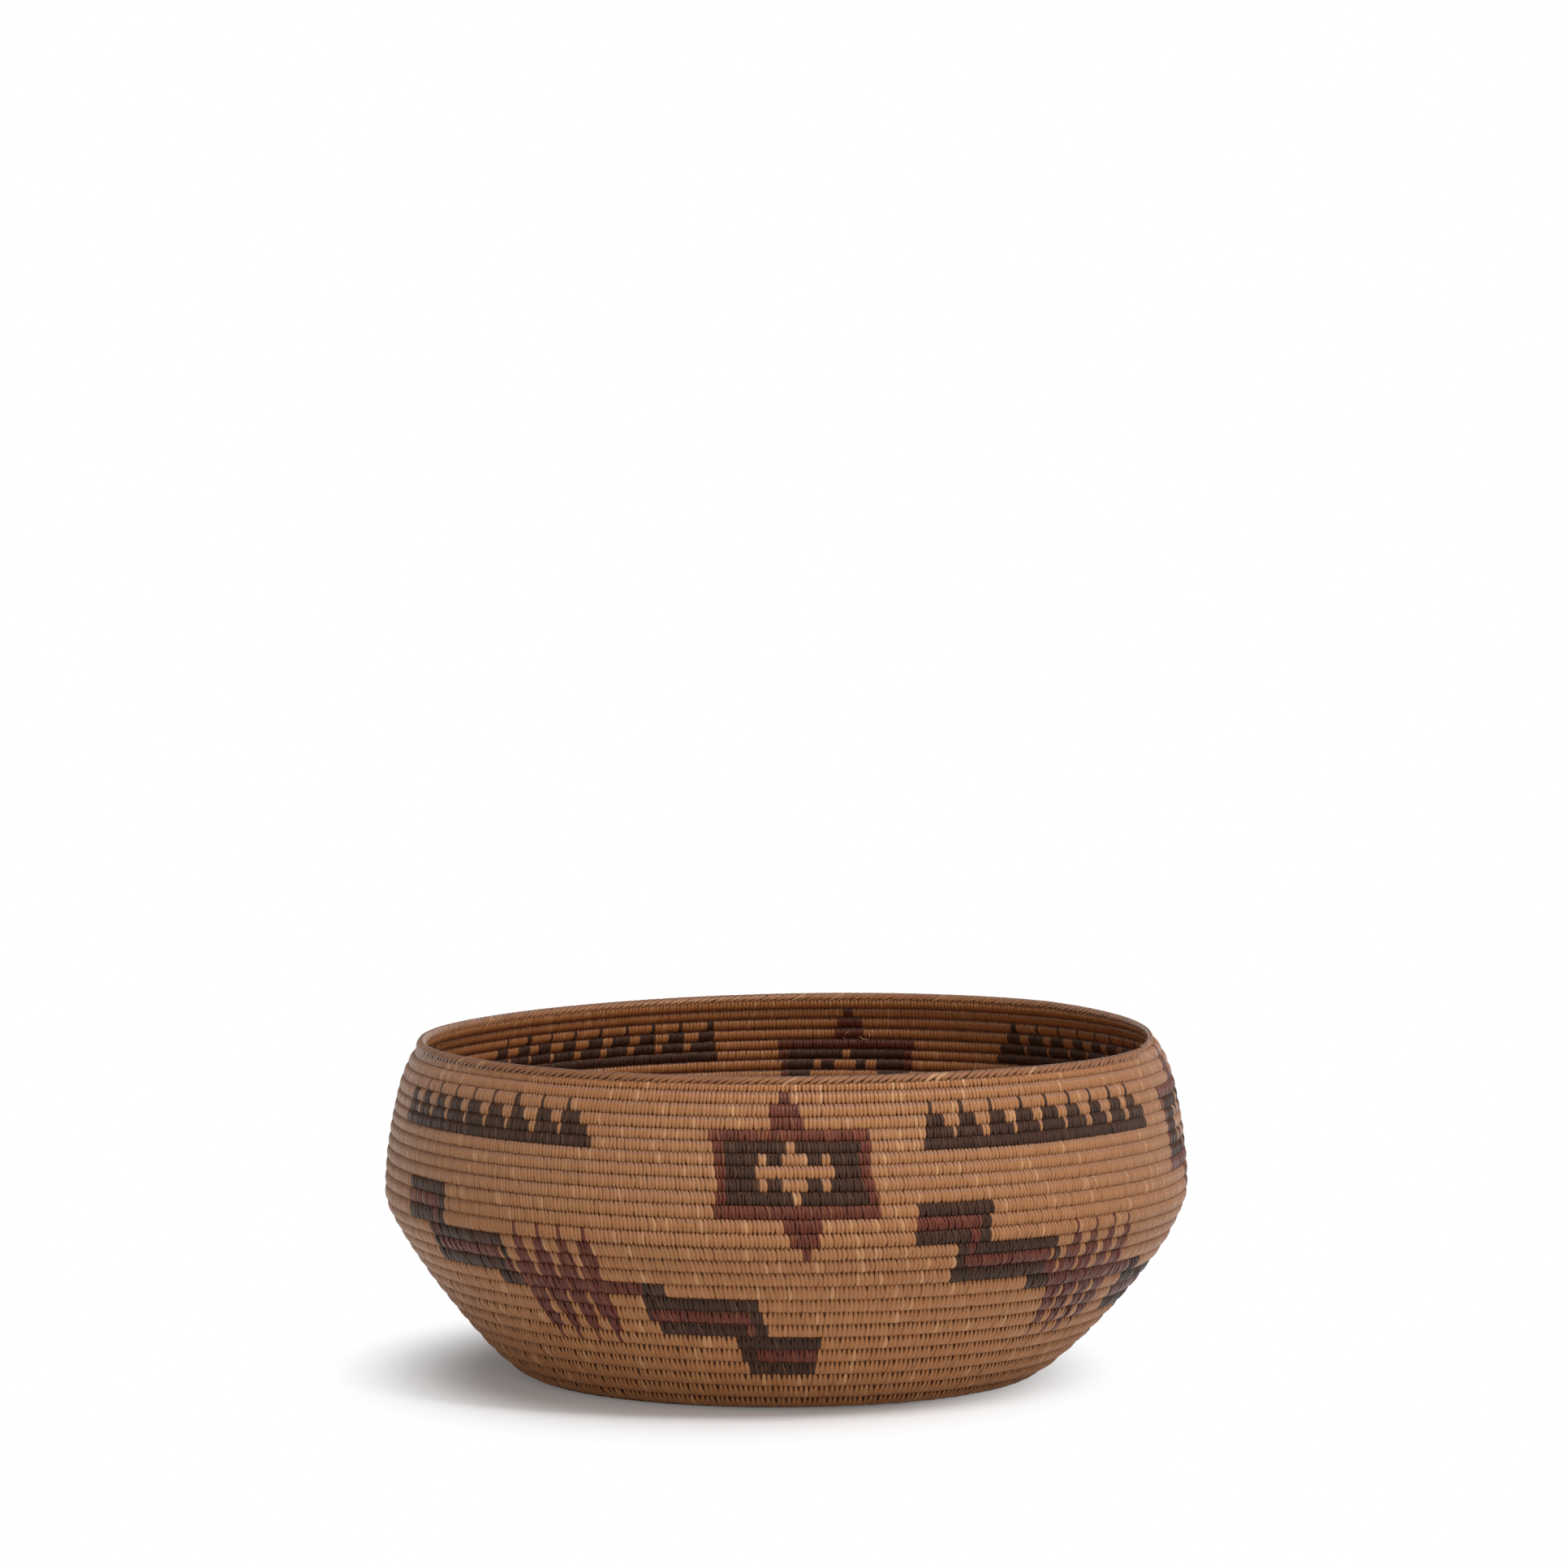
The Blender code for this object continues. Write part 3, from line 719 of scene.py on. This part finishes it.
places = allPlaces()
print("strand places", len(places))
naturalPieces = (  # name, first row, last row, finish, crown, CAD node, slot
    ("rimStrands", 0, 1, "natural", "crown", "rim_coil", "aged_strand"),
    ("shoulderStrandsUpper", 1, 4, "natural", "crown", "shoulder_coil", "natural_strand"),
    ("shoulderStrandsMiddle", 4, 7, "natural", "crown", "shoulder_coil", "natural_strand"),
    ("shoulderStrandsLower", 7, 10, "natural", "crown", "shoulder_coil", "natural_strand"),
    ("bellyStrandsUpper", 10, 13, "naturalMiddle", "crown", "belly_coil", "natural_strand"),
    ("bellyStrandsMiddle", 13, 16, "naturalMiddle", "crown", "belly_coil", "natural_strand"),
    ("bellyStrandsLower", 16, 19, "naturalLower", "crown", "belly_coil", "natural_strand"),
    ("lowerWallStrandsUpper", 19, 23, "naturalLower", "crown", "lower_wall_coil", "natural_strand"),
    ("lowerWallStrandsLower", 23, 28, "naturalLower", "crownOnBase", "lower_wall_coil", "natural_strand"),
    ("baseStrands", 28, 99, "naturalLower", "crownOnBase", "base_coil", "natural_strand"),
)
for name, first, last, finish, crown, node, slot in naturalPieces:
    sewRows(name, "natural", first, last, finish, node, {"Crown": sewing[crown]})
dyedPieces = (
    ("Shoulder", 1, 10, "shoulder_coil"), ("Belly", 10, 19, "belly_coil"), ("LowerWall", 19, 28, "lower_wall_coil"),
)
for strand in ("dark", "red"):
    for part, first, last, node in dyedPieces:
        changes = {"Unevenness": sewing["dyedUnevenness"]}
        sewRows(strand + part + "Strands", strand, first, last, strand, node, changes)
sewPiece("rimOvercast", overcastPlaces(), "braid", "rim_braid",
         {"Crown": rimBraid["crown"], "Drop": 0.0, "Inner Roundness": 0.0})
print("strands sewn")

# Foundation: the rods inside the coil, one closed tube for each stretch
foundation = {
    "sides": 8, "pointsPerTurn": 96, "fewestPoints": 8, "depthShare": 0.9, "heightShare": 0.53, "floorGap": 0.0003,
    "stretches": (  # name, first row, last row, CAD node, slot
        ("rimRods", 0.0, 1.0, "rim_coil", "aged_strand"),
        ("shoulderRods", 1.0, 10.0, "shoulder_coil", "natural_strand"),
        ("bellyRods", 10.0, 19.0, "belly_coil", "natural_strand"),
        ("lowerWallRods", 19.0, 28.0, "lower_wall_coil", "natural_strand"),
        ("baseRods", 28.0, coilTurns - coil["knotTail"], "base_coil", "natural_strand"),
    ),
}


def clearOfFloor(height):  # keeps what is near the floor just above it, without making it quite flat
    return (height + math.sqrt(height * height + sewing["floorRound"]**2)) / 2


def layPiece(name, points, faces, node, slot):
    mesh = bpy.data.meshes.new(name)
    mesh.from_pydata(points, [], faces)
    mesh.shade_smooth()
    mesh.materials.append(finishes["foundationRods"])
    keepInScene(bpy.data.objects.new(name, mesh), node)


def foundationTube(first, last):
    count =max(foundation["fewestPoints"], round((last - first) * foundation["pointsPerTurn"]))
    points, faces = [], []
    sides = foundation["sides"]
    for index in range(count + 1):
        centre, along, out, up, height = rowPlace(first + (last - first) * index / count)
        depth = halfThickness(height) * foundation["depthShare"]
        for side in range(sides):
            angle = 2 * math.pi * side / sides
            onTube = out * math.sin(angle) * depth
            points.append(centre + onTube + up * math.cos(angle) * height * foundation["heightShare"])
            points[-1].z = clearOfFloor(points[-1].z) + foundation["floorGap"]
    for index in range(count):
        for side in range(sides):
            a, b = index * sides + side, index * sides + (side + 1) % sides
            faces.append((a, b, b + sides, a + sides))
    faces.append(tuple(reversed(range(sides))))
    faces.append(tuple(range(count * sides, (count + 1) * sides)))
    return points, faces


for name, first, last, node, slot in foundation["stretches"]:
    layPiece(name, *foundationTube(first, last), node, slot)

# Start knot: strands wrapped round a small flat core
startKnot = {
    "strands": 13, "strandWidth": 0.00125, "ringRadius": 0.0023, "depth": 0.00105, "height": 0.0041,
    "topNarrowing": -0.5, "footNarrowing": 0.75, "slant": 0.0004,
    "coreRadius": 0.0047, "coreDepth": 0.0008, "coreSides": 24, "coreRings": 12,
}


def knotPlaces():
    found = []
    for index in range(startKnot["strands"]):
        away, along = awayAndAlong(2 * math.pi * index / startKnot["strands"])
        found.append(dict(
            places[-1], centre=settle(away * startKnot["ringRadius"] + baseLevel), alongRow=along,
            outOfWall=Vector((0, 0, -1)), upWall=away, rowHeight=startKnot["height"], loopDepth=startKnot["depth"],
            strandWidth=startKnot["strandWidth"], topNarrowing=startKnot["topNarrowing"],
            footNarrowing=startKnot["footNarrowing"], slant=startKnot["slant"]))
    return found


def knotCore():  # a flat ball: rings from its lowest point to its highest, always in the same order
    middle = settle(baseLevel)
    sides, rings = startKnot["coreSides"], startKnot["coreRings"]
    foot, top = Vector((0, 0, -startKnot["coreDepth"])), Vector((0, 0, startKnot["coreDepth"]))
    points, faces = [middle + foot], []
    for ring in range(1, rings):
        tilt = math.pi * ring / rings
        for side in range(sides):
            away, along = awayAndAlong(2 * math.pi * side / sides)
            points.append(middle + foot * math.cos(tilt) + away * startKnot["coreRadius"] * math.sin(tilt))
    points.append(middle + top)
    lastRing = 1 + (rings - 2) * sides
    for side in range(sides):
        after = (side + 1) % sides
        faces.append((0, 1 + after, 1 + side))
        for start in range(1, lastRing, sides):
            faces.append((start + side, start + after, start + after + sides, start + side + sides))
        faces.append((lastRing + side, lastRing + after, len(points) - 1))
    return points, faces


sewPiece("startKnotStrands", knotPlaces(), "naturalLower", "start_knot", {"Drop": 0.0})
layPiece("startKnotCore", *knotCore(), "start_knot", "natural_strand")
print("foundation and knot laid")

# Ends of strands that curl out of the inner wall. A stop is in degrees, in halves of the row's height from its
# middle, and in metres away from the row
looseFibres = {
    "row": 3, "thickness": 0.00022, "bevelSteps": 2, "curveSteps": 8, "endThinness": 0.55, "leastDepth": 0.2,
    "curls": (
        ((170.6, -0.62, 0.0), (170.45, -0.1, 0.0009), (170.2, 0.42, 0.0012), (169.95, 0.55, 0.0009),
         (169.75, 0.2, 0.0)),
        ((168.35, -0.35, 0.0), (167.9, -0.75, 0.0012), (167.2, -1.0, 0.0018), (166.55, -0.75, 0.002),
         (166.2, -0.2, 0.0018), (166.4, 0.3, 0.0012), (166.9, 0.5, 0.0)),
        ((171.1, -0.55, 0.0), (170.8, -0.72, 0.0008), (170.6, -0.85, 0.0009), (170.5, -1.0, 0.0)),
        ((167.75, 0.7, 0.0), (167.6, 0.95, 0.001), (167.5, 1.15, 0.0008), (167.45, 1.3, 0.0)),
    ),
}


def curl(name, stops):  # a thin fibre on a smooth line through its stops, tapered to its ends
    path = bpy.data.curves.new(name, "CURVE")
    path.dimensions, path.use_fill_caps = "3D", True
    path.bevel_depth, path.bevel_resolution = looseFibres["thickness"], looseFibres["bevelSteps"]
    path.resolution_u = looseFibres["curveSteps"]
    spline = path.splines.new("NURBS")
    spline.points.add(len(stops) - 1)
    thin = looseFibres["endThinness"]
    for index, (degrees, height, away) in enumerate(stops):
        turn = looseFibres["row"] + ((degrees - coil["endAzimuth"]) / 360) % 1
        centre, along, out, up, rowSize = rowPlace(turn)
        roundness = math.sqrt(max(looseFibres["leastDepth"], 1 - min(1.0, abs(height))))
        depth = halfThickness(rowSize) * roundness + away
        spline.points[index].co = (*(centre - out * depth + up * rowSize * 0.5 * height), 1)
        spline.points[index].radius = thin + (1 - thin) * math.sin(math.pi * (index + 0.5) / len(stops))
    spline.use_endpoint_u, spline.order_u = True, 4
    holder = bpy.data.objects.new(name + "Path", path)
    bpy.context.scene.collection.objects.link(holder)
    fibre = bpy.data.meshes.new_from_object(holder.evaluated_get(bpy.context.evaluated_depsgraph_get()))
    bpy.data.objects.remove(holder)
    fibre.name = name
    fibre.materials.clear()
    fibre.materials.append(finishes["looseFibre"])
    keepInScene(bpy.data.objects.new(name, fibre))


for number, stops in enumerate(looseFibres["curls"], 1):
    curl("looseFibre" + str(number), stops)
print("loose fibres added")

# Studio: pale floor that turns to plain white away from the basket
studio = {
    "floorHalf": 6.0, "paper": (0.94, 0.95, 0.96, 1), "white": (1, 1, 1, 1),
    "whiteNear": 0.11, "whiteFrom": 0.086, "whiteTo": 0.156, "shadowShift": 0.024, "whiteDepth": 0.8,
    "ambient": 0.33, "fromAbove": 0.07, "airHeights": (0.1, 0.55),
}


def backgroundRays(bench):  # 1 for the rays that see the white background
    rays = bench.add("ShaderNodeLightPath").socket.node
    names = ("Is Camera Ray", "Is Glossy Ray", "Is Transmission Ray")
    camera, glossy, through = [Value(bench, rays.outputs[name]) for name in names]
    return camera.atLeast(glossy).atLeast(through)


floorMesh = bpy.data.meshes.new("floor")
half = studio["floorHalf"]
floorMesh.from_pydata([(-half, -half, 0), (half, -half, 0), (half, half, 0), (-half, half, 0)], [], [(0, 1, 2, 3)])
floor = bpy.data.objects.new("floor", floorMesh)
bpy.context.scene.collection.objects.link(floor)
floorFinish, bench = newFinish("paleFloor")
fromShadow = bench.summed(bench.add("ShaderNodeTexCoord", output="Object"), (studio["shadowShift"], 0, 0))
fromShadow = bench.summed(fromShadow, (1, studio["whiteDepth"], 1), "MULTIPLY")
fromMiddle = bench.add("ShaderNodeVectorMath", {"operation": "LENGTH"}, {0: fromShadow}, "Value")
whiteness = bench.smooth(fromMiddle, studio["whiteFrom"], studio["whiteTo"]) * (1.0 - studio["whiteNear"])
whiteness = (whiteness + studio["whiteNear"]) * backgroundRays(bench)
paper = bench.add("ShaderNodeBsdfDiffuse", None, {"Color": studio["paper"]})
white = bench.add("ShaderNodeEmission", None, {"Color": studio["white"], "Strength": 1.0})
floorSurface = bench.add("ShaderNodeMixShader", None, {0: whiteness, 1: paper, 2: white})
bench.add("ShaderNodeOutputMaterial", None, {"Surface": floorSurface})
floorMesh.materials.append(floorFinish)

world = bpy.data.worlds.new("studioAir")
world.use_nodes = True
world.node_tree.nodes.clear()
bench = Bench(world.node_tree)
level = bench.parts(bench.add("ShaderNodeTexCoord", output="Generated"))[2]
air = studio["ambient"] - bench.smooth(level, *studio["airHeights"]) * (studio["ambient"] - studio["fromAbove"])
strength = air + backgroundRays(bench) * (1.0 - air)
airShader = bench.add("ShaderNodeBackground", None, {"Color": studio["white"], "Strength": strength})
bench.add("ShaderNodeOutputWorld", None, {"Surface": airShader})
bpy.context.scene.world = world

softboxes = (  # name, place, what it faces, width and height, watts
    ("overheadBox", (0.4, -0.4, 1.25), (0, 0, 0.05), (1.7, 1.3), 10.8),
    ("topBox", (0.38, -0.66, 1.2), (0, 0, 0.05), (0.3, 0.22), 5.2),
    ("highBox", (0.75, -1.1, 1.7), (0, 0, 0.06), (0.2, 0.2), 7),
    ("frontBox", (0.38, -2.15, 0.6), (0, 0, 0.06), (1.1, 0.8), 8.2),
    ("leftBox", (-1.25, -1.7, 0.15), (0, 0, 0.05), (0.5, 0.25), 1.6),
)
for name, place, target, size, watts in softboxes:
    lamp = bpy.data.lights.new(name, "AREA")
    lamp.shape, lamp.size, lamp.size_y = "RECTANGLE", size[0], size[1]
    lamp.energy = watts
    lampHolder = bpy.data.objects.new(name, lamp)
    lampHolder.location = place
    lampHolder.rotation_euler = (Vector(target) - Vector(place)).to_track_quat("-Z", "Y").to_euler()
    bpy.context.scene.collection.objects.link(lampHolder)

photoCamera = {
    "lens": 145.2, "sensor": 36, "farthest": 50, "place": (0, -2.3958, 0.3722),
    "downwards": 3.548, "roll": 0.000388,  # degrees and radians
}
camera = bpy.data.cameras.new("photoCamera")
camera.lens, camera.sensor_width, camera.clip_end = (photoCamera[key] for key in ("lens", "sensor", "farthest"))
cameraHolder = bpy.data.objects.new("photoCamera", camera)
cameraHolder.location = photoCamera["place"]
cameraHolder.rotation_euler = (math.radians(90 - photoCamera["downwards"]), 0, photoCamera["roll"])
bpy.context.scene.collection.objects.link(cameraHolder)
bpy.context.scene.camera = cameraHolder
bpy.context.scene.view_settings.view_transform = "Standard"
print("studio set")
